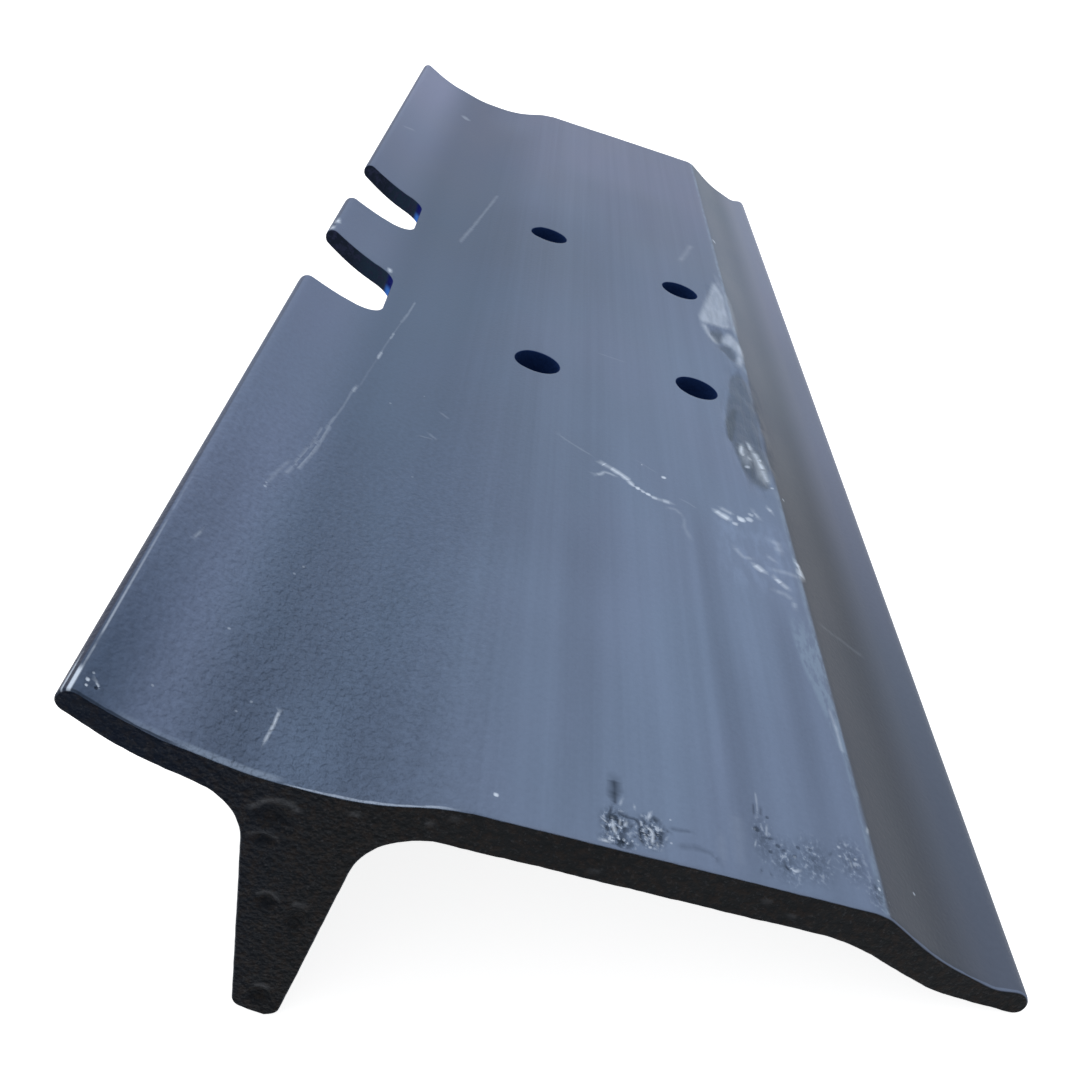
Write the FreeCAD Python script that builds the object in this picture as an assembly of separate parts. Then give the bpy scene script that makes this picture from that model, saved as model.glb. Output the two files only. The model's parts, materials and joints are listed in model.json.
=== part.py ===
import FreeCAD, Part
import math
import os

from FreeCAD import Vector

# One shoe of a crawler track: a rolled steel section cut to length, with a single grouser bar.
# It lies as it comes to rest off the chain, on the grouser's tip and on the edge of its lip.
# x runs along the shoe, +y towards the notched edge, z up. All lengths are in millimetres.
#
# The section is drawn first with the link face level at z = 0 and the grouser's centre line
# at y = 0. A reach is a distance from that centre line, and a slope is in degrees.

shoe_length = 610.0
end_edge_radius = 0.6

# Plate and grouser
plate_thickness = 11.5
shoe_height = 84.5
grouser_tip_width = 11.4
grouser_draft_notch_side = 7.0
grouser_draft_lip_side = 6.3
grouser_tip_lean = 9.0
grouser_tip_radius = 3.4
root_radius_lip_side = 18.0
root_radius_notch_side = 16.0

# Trough above the grouser, and the ramp from it to the link face
trough_depth = 5.1
trough_web = 8.7
ramp_reach = 11.5
ramp_run = 16.5
ramp_foot_radius = 60.0
ramp_crest_radius = 45.0

# Curled edge, which carries the notches
curl_reach = 55.8
curl_start_reach = 25.9
curl_slope = 24.5
curl_bend_radius = 108.0
curl_tip_thickness = 6.6
curl_root_thickness = 7.7
curl_underside_run = 14.6
curl_underside_radius = 80.0
curl_tip_radius = 3.2

# Lip, which bends down over the curled edge of the next shoe
fold_reach = 127.7
fold_radius = 12.0
lip_reach = 172.4
lip_steep_run = 18.0
lip_steep_slope = 29.5
lip_bend_radius = 60.0
lip_flat_slope = 15.5
bead_width = 10.0
bead_rise = 1.8
bead_radius = 8.0
lip_tip_thickness = 9.0
lip_tip_top_radius = 4.8
lip_tip_sole_radius = 3.0
sole_run = 23.5
sole_slope = 3.0
sole_heel_radius = 30.0
sole_fold_setback = 4.2
sole_fold_radius = 40.0

# Bolt holes: the wide pair lies next to the grouser, the narrow pair next to the lip
hole_diameter = 17.3
wide_pair_reach = 37.5
pair_separation = 65.5
wide_pair_spacing = 147.0
narrow_pair_spacing = 106.5

# Notches in the curled edge, which clear the ends of the chain links
notch_spacing = 94.5
notch_depth = 31.0
notch_mouth_width = 51.0
notch_inner_width = 40.5
notch_corner_radius = 9.0
notch_mouth_flare = 0.8
notch_mouth_radius = 1.5

# Share of a straight that the arcs at its two ends may take up between them
arc_room = 0.99


def slope_ratio(degrees):
    return math.tan(math.radians(degrees))


def section_corners():
    """Corners of the section as (y, z, radius), from the curled tip over the top and back below."""
    trough_z = -trough_depth
    plate_sole_z = -plate_thickness

    curl_rise_ratio = slope_ratio(curl_slope)
    curl_lean = math.radians(curl_slope)
    curl_top_y = curl_reach - curl_tip_thickness * math.sin(curl_lean)
    curl_top_z = trough_z + (curl_top_y - curl_start_reach) * curl_rise_ratio
    curl_sole_z = curl_top_z - curl_tip_thickness * math.cos(curl_lean)
    underside_y = curl_start_reach + curl_underside_run
    underside_top_z = trough_z + curl_underside_run * curl_rise_ratio
    underside_z = underside_top_z - curl_root_thickness / math.cos(curl_lean)

    bend_y = -(fold_reach + lip_steep_run)
    bend_z = -lip_steep_run * slope_ratio(lip_steep_slope)
    dip_y = -(lip_reach - bead_width)
    dip_z = bend_z - (bend_y - dip_y) * slope_ratio(lip_flat_slope)
    tip_top_z = dip_z + bead_rise
    tip_sole_z = tip_top_z - lip_tip_thickness
    heel_y = -(lip_reach - sole_run)
    heel_z = tip_sole_z + sole_run * slope_ratio(sole_slope)

    # The grouser's flanks spread from its tip, and its tip leans, lowest on the lip's side.
    half_tip = grouser_tip_width / 2
    lean_rise = grouser_tip_width * slope_ratio(grouser_tip_lean)
    tip_z = -shoe_height
    web_sole_z = trough_z - trough_web
    notch_root_y = half_tip + (web_sole_z - tip_z) * slope_ratio(grouser_draft_notch_side)
    lip_root_y = -half_tip - (plate_sole_z - tip_z) * slope_ratio(grouser_draft_lip_side)

    return {
        "curl top": (curl_top_y, curl_top_z, curl_tip_radius),
        "curl bend": (curl_start_reach, trough_z, curl_bend_radius),
        "ramp foot": (-ramp_reach, trough_z, ramp_foot_radius),
        "ramp crest": (-ramp_reach - ramp_run, 0, ramp_crest_radius),
        "fold": (-fold_reach, 0, fold_radius),
        "lip bend": (bend_y, bend_z, lip_bend_radius),
        "bead dip": (dip_y, dip_z, bead_radius),
        "lip tip top": (-lip_reach, tip_top_z, lip_tip_top_radius),
        "lip tip sole": (-lip_reach, tip_sole_z, lip_tip_sole_radius),
        "heel": (heel_y, heel_z, sole_heel_radius),
        "sole fold": (-fold_reach + sole_fold_setback, plate_sole_z, sole_fold_radius),
        "lip side root": (lip_root_y, plate_sole_z, root_radius_lip_side),
        "grouser toe": (-half_tip, tip_z, grouser_tip_radius),
        "grouser heel": (half_tip, tip_z + lean_rise, grouser_tip_radius),
        "notch side root": (notch_root_y, web_sole_z, root_radius_notch_side),
        "curl underside": (underside_y, underside_z, curl_underside_radius),
        "curl sole": (curl_reach, curl_sole_z, curl_tip_radius),
    }


def corner_arcs(corners):
    """Tangent arc of each corner as (start, middle, end, centre, radius).

    Where two corners ask for more of the straight between them than arc_room allows, both
    radii shrink in proportion.
    """
    points = [Vector(a, b, 0) for a, b, radius in corners]
    count = len(points)
    turns = []
    reaches = []
    for i, corner in enumerate(corners):
        arriving = points[i] - points[i - 1]
        leaving = points[(i + 1) % count] - points[i]
        turn = arriving.getAngle(leaving)
        turns.append(turn)
        reaches.append(corner[2] * math.tan(turn / 2))
    arcs = []
    for i in range(count):
        before = points[i - 1] - points[i]
        after = points[(i + 1) % count] - points[i]
        room_before = before.Length / (reaches[i] + reaches[i - 1])
        room_after = after.Length / (reaches[i] + reaches[(i + 1) % count])
        reach = reaches[i] * min(1, arc_room * room_before, arc_room * room_after)
        radius = reach / math.tan(turns[i] / 2)
        before.normalize()
        after.normalize()
        inward = (before + after).normalize()
        centre = points[i] + inward * (radius / math.cos(turns[i] / 2))
        arcs.append((points[i] + before * reach, centre - inward * radius,
                     points[i] + after * reach, centre, radius))
    return arcs


def rounded_face(corners, place):
    """Flat face inside the rounded outline, with place turning a flat point into one in space."""
    arcs = corner_arcs(corners)
    edges = []
    for i, (start, middle, end, centre, radius) in enumerate(arcs):
        previous_end = arcs[i - 1][2]
        edges.append(Part.LineSegment(place(previous_end), place(start)).toShape())
        edges.append(Part.Arc(place(start), place(middle), place(end)).toShape())
    return Part.Face(Part.Wire(edges))


def bar():
    """The rolled section cut to length, with the edges of both cut ends eased."""
    near_x = -shoe_length / 2
    face = rounded_face(list(section_corners().values()), lambda p: Vector(near_x, p.x, p.y))
    solid = face.extrude(Vector(shoe_length, 0, 0))
    end_edges = [edge for edge in solid.Edges if edge.BoundBox.XLength < shoe_length / 2]
    return solid.makeFillet(end_edge_radius, end_edges)


def bolt_hole(x, y):
    """Round cutter for one bolt, through the plate along the link face's normal."""
    overrun = plate_thickness
    base = Vector(x, y, -plate_thickness - overrun)
    return Part.makeCylinder(hole_diameter / 2, plate_thickness + 2 * overrun, base)


def notch_cutter(x_centre):
    """Cutter for one notch: it narrows inwards, with round inner corners and a mouth at 45 degrees."""
    half_mouth = notch_mouth_width / 2
    half_inner = notch_inner_width / 2
    outside_y = curl_reach + notch_depth
    flare_y = curl_reach - notch_mouth_flare
    inner_y = curl_reach - notch_depth
    half_outside = half_mouth + (outside_y - flare_y)
    side = [
        (half_inner, inner_y, notch_corner_radius),
        (half_mouth, flare_y, notch_mouth_radius),
        (half_outside, outside_y, notch_mouth_radius),
    ]
    mirrored = [(-x, y, radius) for x, y, radius in reversed(side)]
    floor_z = -shoe_height
    face = rounded_face(side + mirrored, lambda p: Vector(x_centre + p.x, p.y, floor_z))
    return face.extrude(Vector(0, 0, 2 * shoe_height))


def rest_tilt():
    """Turn about x, in degrees, that brings the grouser's toe and the lip's edge to one floor."""
    names = list(section_corners())
    arcs = corner_arcs(list(section_corners().values()))
    toe_centre, toe_radius = arcs[names.index("grouser toe")][3:]
    lip_centre, lip_radius = arcs[names.index("lip tip sole")][3:]
    span = toe_centre - lip_centre
    fall = math.atan2(-span.y, span.x)
    return math.degrees(fall + math.asin((toe_radius - lip_radius) / span.Length))


def track_shoe():
    shoe = bar()
    for pair_reach, spacing in (
        (wide_pair_reach, wide_pair_spacing),
        (wide_pair_reach + pair_separation, narrow_pair_spacing),
    ):
        for x in (-spacing / 2, spacing / 2):
            shoe = shoe.cut(bolt_hole(x, -pair_reach))
    for x in (-notch_spacing / 2, notch_spacing / 2):
        shoe = shoe.cut(notch_cutter(x))
    shoe.rotate(Vector(0, 0, 0), Vector(1, 0, 0), rest_tilt())
    box = shoe.optimalBoundingBox(False, False)
    shoe.translate(Vector(-box.Center.x, -box.Center.y, -box.ZMin))
    return shoe


shoe = track_shoe()
os.makedirs("parts", exist_ok=True)
shoe.exportStep("parts/track_shoe.step")

box = shoe.optimalBoundingBox(False, False)
print("solids", len(shoe.Solids), "valid", shoe.isValid(), "volume", round(shoe.Volume, 1))
print("size", round(box.XLength, 2), round(box.YLength, 2), round(box.ZLength, 2))
print("rest tilt", round(rest_tilt(), 3), "centre of mass", shoe.CenterOfGravity)
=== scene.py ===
import json
import math

import bmesh
import bpy
import numpy as np
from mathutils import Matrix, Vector
from mathutils.geometry import delaunay_2d_cdt
from mathutils.kdtree import KDTree


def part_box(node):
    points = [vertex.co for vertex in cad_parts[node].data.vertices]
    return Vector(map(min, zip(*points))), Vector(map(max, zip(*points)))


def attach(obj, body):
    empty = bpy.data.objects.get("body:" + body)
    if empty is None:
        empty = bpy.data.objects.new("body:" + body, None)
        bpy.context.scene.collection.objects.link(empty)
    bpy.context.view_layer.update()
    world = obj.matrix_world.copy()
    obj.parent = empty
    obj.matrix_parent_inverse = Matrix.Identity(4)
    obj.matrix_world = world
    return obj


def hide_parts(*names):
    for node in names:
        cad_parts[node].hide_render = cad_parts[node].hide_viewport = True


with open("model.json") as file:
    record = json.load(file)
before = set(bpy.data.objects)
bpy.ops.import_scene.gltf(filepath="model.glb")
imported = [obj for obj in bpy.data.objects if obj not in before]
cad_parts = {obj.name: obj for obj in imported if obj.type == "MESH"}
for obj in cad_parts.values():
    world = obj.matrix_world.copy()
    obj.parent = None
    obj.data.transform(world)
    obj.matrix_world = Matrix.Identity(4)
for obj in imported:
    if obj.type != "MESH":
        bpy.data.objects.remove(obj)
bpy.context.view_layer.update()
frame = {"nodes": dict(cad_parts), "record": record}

# The camera stands just off the shoe's near end and above it, and looks along its length.

camera_place = (-0.47871, -0.00863, 0.24811)
camera_turn_degrees = (57.200, 3.153, -87.889)
camera_lens = 38.98
camera_sensor = 36.0
camera_nearest = 0.01

camera_data = bpy.data.cameras.new("camera")
camera_data.lens = camera_lens
camera_data.sensor_width = camera_sensor
camera_data.clip_start = camera_nearest
camera = bpy.data.objects.new("camera", camera_data)
camera.location = camera_place
camera.rotation_euler = [math.radians(angle) for angle in camera_turn_degrees]
bpy.context.scene.collection.objects.link(camera)
bpy.context.scene.camera = camera
bpy.context.scene.view_settings.view_transform = "Standard"

# The studio: a plain white floor that keeps a faint shadow, a pale sky all round, and one broad
# soft lamp high above the shoe.


class Value:
    """A socket of a node tree. Arithmetic on it adds Math nodes."""

    def __init__(self, nodes, socket):
        self.nodes = nodes
        self.socket = socket

    def output(self, name):
        """Another output of the same node."""
        return Value(self.nodes, self.socket.node.outputs[name])

    def math(self, operation, first, second=0.0):
        return self.nodes.add("ShaderNodeMath", {"operation": operation}, {0: first, 1: second})

    def __add__(self, other):
        return self.math("ADD", self, other)

    def __sub__(self, other):
        return self.math("SUBTRACT", self, other)

    def __rsub__(self, other):
        return self.math("SUBTRACT", other, self)

    def __mul__(self, other):
        return self.math("MULTIPLY", self, other)

    __radd__ = __add__
    __rmul__ = __mul__

    def largest(self, other):
        return self.math("MAXIMUM", self, other)

    def rise(self, low, high):
        """0 where the value is at low, 1 where it is at high, with a soft change between."""
        return self.nodes.add("ShaderNodeMapRange", {"interpolation_type": "SMOOTHSTEP"},
                              {"Value": self, "From Min": low, "From Max": high})

    def near(self, middle, reach, fade):
        """1 within a reach of a middle value, 0 beyond it, with a soft change at the fade."""
        return 1 - self.math("ABSOLUTE", self - middle).rise(reach - fade, reach + fade)


class Nodes:
    """A node tree that is written as Python expressions."""

    def __init__(self, tree):
        self.tree = tree

    def add(self, kind, settings=None, sockets=None, output=0):
        """Adds a node with its settings, then the values or links of its sockets."""
        node = self.tree.nodes.new(kind)
        for name, value in (settings or {}).items():
            setattr(node, name, value)
        for name, value in (sockets or {}).items():
            if isinstance(value, Value):
                self.tree.links.new(value.socket, node.inputs[name])
            else:
                node.inputs[name].default_value = value
        return Value(self, node.outputs[output])


def seen_directly(nodes):
    """1 for rays from the camera, from a glossy surface or through glass, and 0 for the others."""
    rays = nodes.add("ShaderNodeLightPath", output="Is Camera Ray")
    return rays.largest(rays.output("Is Glossy Ray")).largest(rays.output("Is Transmission Ray"))


sky_strength = 0.45
sky_colour = (0.97, 0.985, 1.0, 1.0)

world = bpy.data.worlds.new("studio")
world.use_nodes = True
nodes = Nodes(world.node_tree)
background = world.node_tree.nodes["Background"]
background.inputs["Color"].default_value = sky_colour
shown = seen_directly(nodes)
sky_light = shown + (1 - shown) * sky_strength
world.node_tree.links.new(sky_light.socket, background.inputs["Strength"])
bpy.context.scene.world = world

floor_half_width = 8.0
floor_colour = (0.8, 0.8, 0.8, 1.0)
floor_glow = 0.86

floor_finish = bpy.data.materials.new("white_floor")
floor_finish.use_nodes = True
nodes = Nodes(floor_finish.node_tree)
floor_surface = floor_finish.node_tree.nodes["Principled BSDF"]
floor_surface.inputs["Base Color"].default_value = floor_colour
floor_surface.inputs["Roughness"].default_value = 1.0
floor_surface.inputs["Specular IOR Level"].default_value = 0.0
glow = nodes.add("ShaderNodeEmission", sockets={"Strength": seen_directly(nodes) * floor_glow})
both = nodes.add("ShaderNodeAddShader", sockets={0: Value(nodes, floor_surface.outputs[0]), 1: glow})
floor_output = floor_finish.node_tree.nodes["Material Output"]
floor_finish.node_tree.links.new(both.socket, floor_output.inputs["Surface"])

floor_mesh = bpy.data.meshes.new("floor")
corners = [(-1, -1), (1, -1), (1, 1), (-1, 1)]
floor_mesh.from_pydata([(x * floor_half_width, y * floor_half_width, 0) for x, y in corners], [],
                       [(0, 1, 2, 3)])
floor_mesh.materials.append(floor_finish)
floor = bpy.data.objects.new("floor", floor_mesh)
bpy.context.scene.collection.objects.link(floor)

lamp_place = (0.30, -0.15, 1.90)
lamp_aim = (0.0, 0.0, 0.05)
lamp_width = 1.5
lamp_power = 19.0

lamp_data = bpy.data.lights.new("broad_lamp", "AREA")
lamp_data.shape = "DISK"
lamp_data.size = lamp_width
lamp_data.energy = lamp_power
lamp = bpy.data.objects.new("broad_lamp", lamp_data)
lamp.location = lamp_place
lamp.rotation_euler = (Vector(lamp_aim) - Vector(lamp_place)).to_track_quat("-Z", "Y").to_euler()
bpy.context.scene.collection.objects.link(lamp)

# The bar is hot-rolled steel with one section from end to end, cut to length from a long bar.
# The shoe rests tilted, on its grouser and its lip, so it has axes of its own: along its length,
# across its link face towards the notched edge, and up from that face. Their zero is at
# mid-length, on the link face above the grouser's centre line.

millimetre = 0.001
solid_shoe = frame["nodes"]["track_shoe"]
mounts = {mount["name"]: mount for mount in frame["record"]["mounts"]}
half_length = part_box("track_shoe")[1][0]

face_normal = Vector(mounts["link_face"]["axis"]).normalized()
rest_tilt = math.atan2(-face_normal.y, face_normal.z)
across_axis = np.array((0, math.cos(rest_tilt), math.sin(rest_tilt)))
up_axis = np.array((0, -math.sin(rest_tilt), math.cos(rest_tilt)))

wide_pair_reach = 0.0375
wide_pair_centre = np.array(mounts["wide_bolt_pair"]["pos_m"])
across_zero = wide_pair_centre @ across_axis + wide_pair_reach
up_zero = wide_pair_centre @ up_axis


def in_space(along, across, up):
    """Places on the shoe's own axes as points of the frame."""
    along, across, up = np.broadcast_arrays(along, across, up)
    flat = (across + across_zero)[:, None] * across_axis + (up + up_zero)[:, None] * up_axis
    return flat + along[:, None] * np.array((1, 0, 0))


# Its skin is the section's outline swept along the bar. A place on the skin is (around, along),
# where around is the distance round the outline from the grouser's lowest line.

weld_distance = 1e-6
flat_tolerance = 3e-6
points_per_span = 16


def middle_section():
    """The solid's outline at mid-length, as (across, up) points in order round it."""
    cut = bmesh.new()
    cut.from_mesh(solid_shoe.data)
    bmesh.ops.remove_doubles(cut, verts=cut.verts, dist=weld_distance)
    bmesh.ops.bisect_plane(cut, geom=[*cut.verts, *cut.edges, *cut.faces], plane_co=(0, 0, 0),
                           plane_no=(1, 0, 0), clear_inner=True, clear_outer=True)
    first = next(iter(cut.verts))
    before, here = None, first
    places = []
    while here is not first or before is None:
        places.append(np.array(here.co))
        onward = [edge.other_vert(here) for edge in here.link_edges]
        before, here = here, next(vert for vert in onward if vert is not before)
    cut.free()
    places = np.array(places)
    return np.column_stack([places @ across_axis - across_zero, places @ up_axis - up_zero])


def without_flat_points(outline):
    """The outline without the points that lie in line with their neighbours."""
    before = np.roll(outline, 1, axis=0)
    chord = np.roll(outline, -1, axis=0) - before
    leg = outline - before
    height = np.abs(chord[:, 0] * leg[:, 1] - chord[:, 1] * leg[:, 0]) / np.linalg.norm(chord, axis=1)
    return outline[height > flat_tolerance]


def smoothed(outline):
    """Many points of the smooth closed curve through an outline's points."""
    after = np.roll(outline, -1, axis=0)
    heading = after - np.roll(outline, 1, axis=0)
    heading /= np.linalg.norm(heading, axis=1)[:, None]
    chord = np.linalg.norm(after - outline, axis=1)[:, None]
    share = np.arange(points_per_span)[None, :, None] / points_per_span
    leave = (heading * chord)[:, None]
    arrive = (np.roll(heading, -1, axis=0) * chord)[:, None]
    ease = 3 * share**2 - 2 * share**3
    curve = (1 - ease) * outline[:, None] + ease * after[:, None]
    curve += (share**3 - 2 * share**2 + share) * leave + (share**3 - share**2) * arrive
    return curve.reshape(-1, 2)


outline = smoothed(without_flat_points(middle_section()))
outline = np.roll(outline, -int(outline[:, 1].argmin()), axis=0)
if outline[points_per_span, 0] < outline[0, 0]:
    outline = np.roll(outline[::-1], 1, axis=0)
outline = np.vstack([outline, outline[:1]])
outline_across, outline_up = outline.T
outline_around = np.concatenate([[0], np.linalg.norm(np.diff(outline, axis=0), axis=1).cumsum()])
girth = outline_around[-1]
curl_tip = int(outline_across.argmax())
lip_tip = int(outline_across.argmin())


def branch(first, last):
    """Turns a place across the shoe into a distance round the outline, on one side of the bar."""
    across = outline_across[first:last + 1]
    around = outline_around[first:last + 1]
    order = 1 if across[0] < across[-1] else -1
    return lambda place: np.interp(place, across[::order], around[::order])


top_side = branch(curl_tip, lip_tip)
under_curl = branch(0, curl_tip)
under_plate = branch(lip_tip, len(outline_around) - 1)


def across_at(around):
    return np.interp(around, outline_around, outline_across)


def up_at(around):
    return np.interp(around, outline_around, outline_up)


def on_skin(places):
    """Points in space of (around, along) places on the skin."""
    return in_space(places[:, 1], across_at(places[:, 0]), up_at(places[:, 0]))


def outline_stops(top_spacing, under_spacing, turn_per_stop):
    """Distances round the outline, closer together on the top and where the outline bends."""
    span = np.diff(outline_around)
    heading = np.unwrap(np.arctan2(np.diff(outline_up), np.diff(outline_across)))
    turn = np.abs(np.gradient(heading))
    middle = (outline_around[1:] + outline_around[:-1]) / 2
    on_top = (middle > outline_around[curl_tip]) & (middle < outline_around[lip_tip])
    spacing = np.where(on_top, top_spacing, under_spacing)
    need = np.concatenate([[0], np.maximum(span / spacing, turn / turn_per_stop).cumsum()])
    wanted = np.linspace(0, need[-1], math.ceil(need[-1]) + 1)
    return np.interp(wanted, need, outline_around)


class Skin:
    """The shoe's points and faces, and the readings of each point that its finish goes by."""

    def __init__(self):
        self.points = []
        self.faces = []
        names = ("end_cut", "notch_cut", "hole_cut", "past_curl", "bare", "pitted", "crushed", "scaly",
                 "dented")
        self.readings = {name: [] for name in names}

    def add(self, points, around, **given):
        """Adds points and their readings. Gives the points' numbers."""
        start = len(self.points)
        self.points.extend(points)
        given["past_curl"] = around - outline_around[curl_tip]
        for name, values in self.readings.items():
            values.extend(np.broadcast_to(given.get(name, 0.0), len(points)))
        return range(start, len(self.points))

    def bridge(self, lower, upper):
        """Quads between two closed rows of points."""
        for i in range(len(lower)):
            self.faces.append((lower[i - 1], lower[i], upper[i], upper[i - 1]))

    def cover(self, triangles, points, around, **given):
        """Adds triangles with their own points."""
        numbers = self.add(points, around, **given)
        self.faces.extend((triangles + numbers[0]).tolist())


def inside(points, loop):
    """Which flat points lie inside a closed loop."""
    found = np.zeros(len(points), bool)
    near = np.all((points > loop.min(axis=0)) & (points < loop.max(axis=0)), axis=1)
    x, y = points[near, 0, None], points[near, 1, None]
    (x1, y1), (x2, y2) = loop.T, np.roll(loop, -1, axis=0).T
    rise = np.where(y2 == y1, 1, y2 - y1)
    crosses = ((y1 > y) != (y2 > y)) & (x < x1 + (y - y1) * (x2 - x1) / rise)
    found[near] = crosses.sum(axis=1) % 2 == 1
    return found


def triangles_between(loops, inner_points):
    """Flat points, and the triangles on them that fill the first loop outside the others.

    Also gives, for each point, the number of the given point that it comes from, or -1.
    """
    edges = []
    start = 0
    for loop in loops:
        numbers = range(start, start + len(loop))
        edges.extend(zip(numbers, [*numbers[1:], start]))
        start += len(loop)
    given = [Vector(point) for point in np.vstack([*loops, inner_points])]
    flat, _, triangles, sources, *_ = delaunay_2d_cdt(given, edges, [], 1, weld_distance)
    flat = np.array(flat)
    triangles = np.array(triangles)
    middles = flat[triangles].mean(axis=1)
    kept = np.ones(len(triangles), bool)
    for loop in loops[1:]:
        kept &= ~inside(middles, loop)
    return flat, triangles[kept], np.array([max(source, default=-1) for source in sources])


def clear_of(points, others, gap):
    """The points that keep a gap from the nearest other point, where each may have its own gap."""
    gaps = np.broadcast_to(gap, len(others))
    tree = KDTree(len(others))
    for number, point in enumerate(others):
        tree.insert((*point, 0), number)
    tree.balance()
    found = [tree.find((*point, 0)) for point in points]
    return points[[away > gaps[number] for _, number, away in found]]


def outward(loop):
    """Unit normals of a closed flat loop, pointing out of it."""
    after = np.roll(loop, -1, axis=0)
    heading = after - np.roll(loop, 1, axis=0)
    heading /= np.linalg.norm(heading, axis=1)[:, None]
    turns_left = (loop[:, 0] * after[:, 1] - after[:, 0] * loop[:, 1]).sum() > 0
    normals = np.column_stack([heading[:, 1], -heading[:, 0]])
    return normals if turns_left else -normals


loop_clearance = 0.6


def grid_inside(loop, spacing):
    """Evenly spaced points inside a flat loop, clear of its edge."""
    low, high = loop.min(axis=0), loop.max(axis=0)
    rows = [np.arange(a + spacing / 2, b, spacing) for a, b in zip(low, high)]
    points = np.stack(np.meshgrid(*rows, indexing="ij"), axis=-1).reshape(-1, 2)
    points[::2, 0] += spacing / 4
    return clear_of(points[inside(points, loop)], loop, spacing * loop_clearance)


rim_steps = 4


def round_rim(skin, outer, corner, inner, around, cut):
    """The eased edge of a cut: rows that bend from the skin past the sharp corner to the cut face."""
    rows = []
    for step in range(rim_steps + 1):
        share = step / rim_steps
        row = (1 - share) ** 2 * outer + 2 * share * (1 - share) * corner + share**2 * inner
        rows.append(skin.add(row, around, **{cut: share}))
    for lower, upper in zip(rows, rows[1:]):
        skin.bridge(lower, upper)


skin = Skin()
holes_in_skin = []

# The two ends are sheared square and left as cut: a flat, rough face with a slightly rolled edge.
# The near end has been knocked. A dent is (across, up, half width, half height) and a scrape
# (how bare, half width, [(across, up), ...]), in millimetres.

end_rim_radius = 0.0009
end_rim_unevenness = 0.35
end_rim_seed = 10
end_dent_fade = 0.7
end_face_spacing = {-1: 0.0009, 1: 0.0016}
end_stops = outline_stops(0.0013, 0.0016, math.radians(11))[:-1]
section_loop = np.column_stack([across_at(end_stops), up_at(end_stops)])
end_dents = [
    (7.4, -14.3, 5.4, 3.9), (8.3, -22.5, 3.5, 1.7), (3.9, -42.0, 3.0, 3.0), (-3.5, -46.2, 2.6, 4.6),
    (-0.5, -76.3, 3.2, 3.2),
]
end_scrapes = [
    (0.9, 1.1, [(12.2, -14.2), (9.3, -11.0), (6.4, -10.3), (4.2, -10.5), (2.7, -11.8)]),
    (0.6, 1.0, [(11.2, -22.4), (8.6, -20.9), (5.6, -21.6)]),
    (0.8, 1.1, [(1.6, -41.2), (3.9, -39.4), (6.0, -40.6)]),
    (0.9, 1.1, [(-2.5, -41.3), (-4.5, -41.1)]),
    (0.9, 1.2, [(0.9, -73.0), (-0.6, -72.5), (-1.8, -73.4)]),
    (0.8, 1.0, [(-8.6, -9.0), (-9.7, -8.8)]), (0.7, 1.0, [(-24.3, -6.3), (-25.3, -6.1)]),
    (0.6, 1.0, [(-29.0, -3.3), (-30.0, -3.1)]), (0.6, 1.0, [(-100.4, -4.9), (-101.4, -4.8)]),
    (0.6, 1.0, [(-107.6, -7.6), (-108.6, -7.5)]), (0.5, 1.0, [(-61.4, -8.6), (-63.0, -8.2)]),
]


def in_zones(x, y, zones, fade=0.4):
    """1 well inside any of the (x, y, half width, half height) ovals, falling to 0 at their edges."""
    found = np.zeros(len(x))
    for zone in zones:
        middle_x, middle_y, half_x, half_y = np.array(zone) * millimetre
        away = np.hypot((x - middle_x) / half_x, (y - middle_y) / half_y)
        found = np.maximum(found, np.clip((1 - away) / fade, 0, 1))
    return found


def on_lines(places, lines):
    """How strongly (strength, half width, path) lines mark flat places."""
    found = np.zeros(len(places))
    for strength, reach, path in lines:
        corners = np.array(path) * millimetre
        for start, end in zip(corners, corners[1:]):
            leg = end - start
            share = np.clip((places - start) @ leg / (leg @ leg), 0, 1)
            away = np.linalg.norm(places - start - share[:, None] * leg, axis=1)
            found = np.maximum(found, strength * np.clip(1 - away / (reach * millimetre), 0, 1))
    return found


wave_count = 9
wave_growth = 1.7


def uneven(places, seed, shortest=0.004):
    """Smooth values from -1 to 1 along a line, the same on each run."""
    phases = np.random.default_rng(seed).uniform(0, 2 * math.pi, wave_count)
    lengths = shortest * wave_growth ** np.arange(wave_count)
    waves = [np.sin(2 * math.pi * places / length + phase) for length, phase in zip(lengths, phases)]
    return np.clip(np.mean(waves, axis=0) * 2, -1, 1)


end_rims = {}
for end in (-1, 1):
    rim_radius = end_rim_radius * (1 + end_rim_unevenness * uneven(end_stops, end_rim_seed + end))
    end_rims[end] = np.column_stack([end_stops, end * (half_length - rim_radius)])
    face_loop = section_loop - rim_radius[:, None] * outward(section_loop)
    face_grid = grid_inside(face_loop, end_face_spacing[end])
    flat, triangles, _ = triangles_between([face_loop], face_grid)
    knocked = end < 0
    skin.cover(triangles, in_space(end * half_length, *flat.T), 0.0, end_cut=1.0,
               dented=knocked * in_zones(*flat.T, end_dents, end_dent_fade),
               bare=knocked * on_lines(flat, end_scrapes))
    round_rim(skin, on_skin(end_rims[end]), in_space(end * half_length, *section_loop.T),
              in_space(end * half_length, *face_loop.T), end_stops, "end_cut")

# Two notches are punched in the curled edge, to clear the ends of the chain's links.
# Each narrows inwards, with round inner corners, and its mouth flares at 45 degrees.

notch_spacing = 0.0945
notch_depth = 0.031
notch_mouth_width = 0.051
notch_inner_width = 0.0405
notch_corner_radius = 0.009
notch_mouth_flare = 0.0008
notch_mouth_radius = 0.0015
notch_rim_radius = 0.0006
notch_point_spacing = 0.001
notch_wall_spacing = 0.0013
arc_steps = 24


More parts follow.
